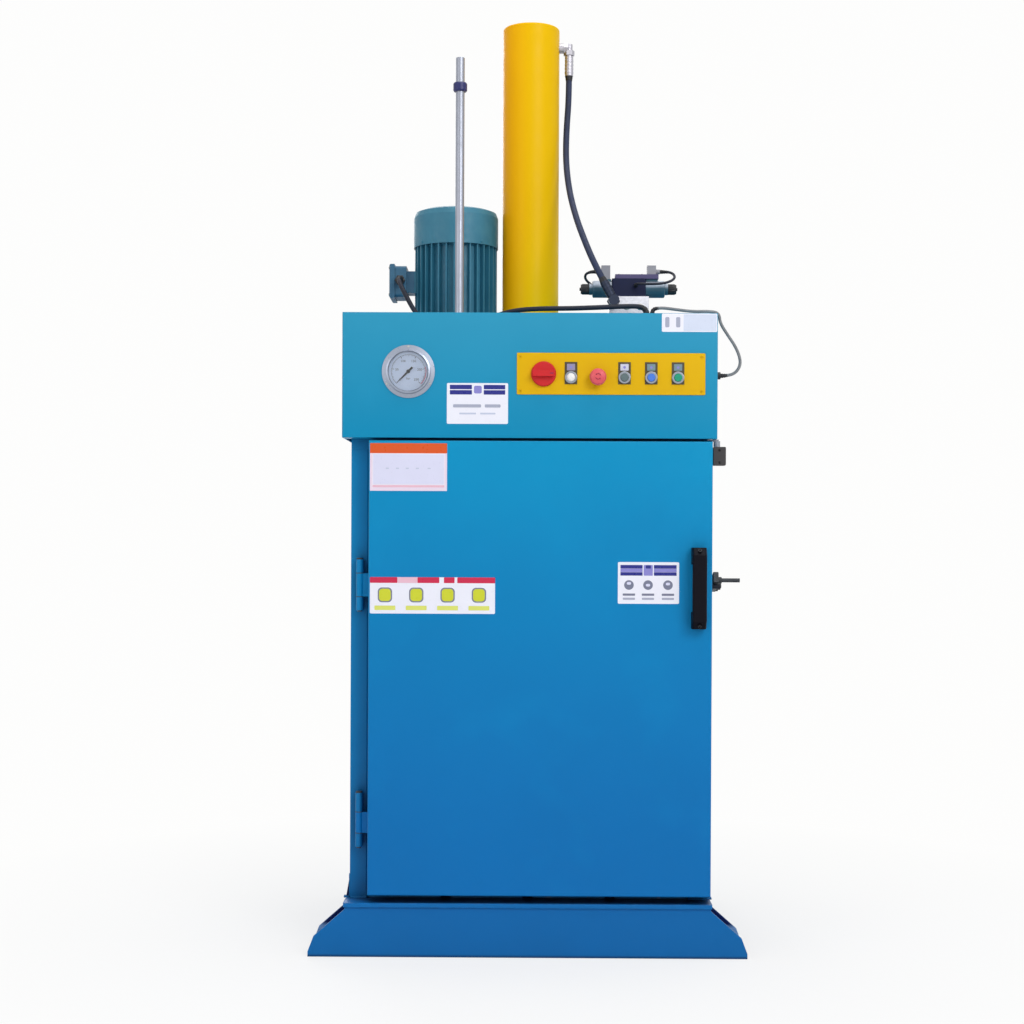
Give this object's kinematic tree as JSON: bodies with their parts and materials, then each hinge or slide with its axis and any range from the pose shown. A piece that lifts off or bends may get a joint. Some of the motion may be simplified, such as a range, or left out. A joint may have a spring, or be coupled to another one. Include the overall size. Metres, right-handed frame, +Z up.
{
  "type": "recycling baler",
  "caption": "Upright hydraulic baler with a full-height hinged door, boxed head with gauge and control panel, motor, valve and press cylinder on top.",
  "frame": {"origin": "on the floor under the middle of the frame, in the underside of the middle runner", "axes": "+Z up, -Y out of the door, +X to the right as seen from the front"},
  "size_m": [1.056, 0.791, 2.332],
  "materials": {
    "frame_blue": "semi-gloss paint, blue",
    "door_blue": "semi-gloss paint, blue",
    "head_blue": "semi-gloss paint, light blue",
    "yellow_paint": "gloss paint, yellow",
    "motor_paint": "semi-gloss paint, grey green",
    "motor_cap_paint": "semi-gloss paint, grey green",
    "steel": "bright ground steel",
    "chrome": "hard chrome",
    "zinc": "zinc plated",
    "black_plastic": "black, fine texture",
    "grey_plastic": "grey",
    "dark_plastic": "dark blue",
    "valve_navy": "dark paint",
    "white_plastic": "off-white",
    "nylon": "natural nylon",
    "glass": "clear window",
    "red_plastic": "red",
    "pink_red": "light red",
    "blue_plastic": "blue",
    "green_plastic": "green",
    "lamp_white": "white lens",
    "black_rubber": "black, satin",
    "grey_rubber": "grey, satin",
    "manifold_alu": "machined"
  },
  "bodies": {
    "frame": {"back_wall": "frame_blue", "base_deck": "frame_blue", "base_runners": "frame_blue", "button_bezels": "zinc", "cable_glands": "black_plastic", "cap_hose": "black_rubber", "contact_blocks": "grey_plastic", "crosshead": "frame_blue", "cylinder_flange": "yellow_paint", "cylinder_tube": "yellow_paint", "fan_cover": "motor_cap_paint", "floor_bars": "frame_blue", "frame_knuckles": "frame_blue", "front_foot_beam": "frame_blue", "gauge_case": "chrome", "gauge_dial": "white_plastic", "gauge_glass": "glass", "head_cover": "head_blue", "head_rear_panel": "head_blue", "head_top_plate": "head_blue", "hinge_pins": "steel", "hose_ends": "zinc", "interlock_switch": "black_plastic", "left_wall": "frame_blue", "legend_plates": "dark_plastic", "manifold_block": "manifold_alu", "motor_cable": "black_rubber", "motor_frame": "motor_paint", "oil_tank": "frame_blue", "panel_plate": "yellow_paint", "pilot_lamp": "lamp_white", "pump": "valve_navy", "rear_foot_beam": "frame_blue", "right_wall": "frame_blue", "rod_guide_bush": "nylon", "side_cable": "grey_rubber", "solenoid_lead_left": "black_rubber", "solenoid_lead_right": "black_rubber", "solenoid_plugs": "grey_plastic", "solenoids": "valve_navy", "terminal_box": "motor_cap_paint", "valve_body": "valve_navy"},
    "door": {"door_shell": "door_blue", "door_liner": "door_blue", "door_handle": "black_plastic", "door_knuckles": "door_blue"},
    "latch": {"latch_hook": "valve_navy"},
    "ram": {"piston": "steel", "piston_rod": "chrome", "platen": "frame_blue", "indicator_rod": "steel", "rod_collar": "dark_plastic"},
    "rotor": {"motor_shaft": "steel", "motor_fan": "black_plastic"},
    "needle": {"gauge_needle": "black_plastic"},
    "main_switch": {"main_switch_knob": "red_plastic"},
    "stop_button": {"estop_button": "pink_red"},
    "black_button": {"button_black": "grey_plastic"},
    "blue_button": {"button_blue": "blue_plastic"},
    "green_button": {"button_green": "green_plastic"}
  },
  "joints": [
    {"name": "door_hinge", "type": "hinge", "parent": "frame", "child": "door", "pos_m": [-0.409, -0.332, 0.6], "axis": [0, 0, -1], "range_deg": [0, 120]},
    {"name": "latch_swing", "type": "hinge", "parent": "frame", "child": "latch", "pos_m": [0.45, -0.285, 0.893], "axis": [1, 0, 0], "range_deg": [-50, 17]},
    {"name": "ram_stroke", "type": "slide", "parent": "frame", "child": "ram", "axis": [0, 0, -1], "range_m": [0, 0.55]},
    {"name": "motor_spin", "type": "hinge", "parent": "frame", "child": "rotor", "pos_m": [-0.195, 0.02, 1.6], "axis": [0, 0, 1], "continuous": true},
    {"name": "gauge_reading", "type": "hinge", "parent": "frame", "child": "needle", "pos_m": [-0.291, -0.372, 1.405], "axis": [0, 1, 0], "range_deg": [0, 270], "stiffness_Nm_per_rad": 0.001},
    {"name": "main_switch_turn", "type": "hinge", "parent": "frame", "child": "main_switch", "pos_m": [0.033, -0.374, 1.4], "axis": [0, 1, 0], "range_deg": [0, 90]},
    {"name": "stop_press", "type": "slide", "parent": "frame", "child": "stop_button", "axis": [0, 1, 0], "range_m": [0, 0.005], "stiffness_N_per_m": 1500},
    {"name": "black_press", "type": "slide", "parent": "frame", "child": "black_button", "axis": [0, 1, 0], "range_m": [0, 0.0035], "stiffness_N_per_m": 1000},
    {"name": "blue_press", "type": "slide", "parent": "frame", "child": "blue_button", "axis": [0, 1, 0], "range_m": [0, 0.0035], "stiffness_N_per_m": 1000},
    {"name": "green_press", "type": "slide", "parent": "frame", "child": "green_button", "axis": [0, 1, 0], "range_m": [0, 0.0035], "stiffness_N_per_m": 1000}
  ]
}
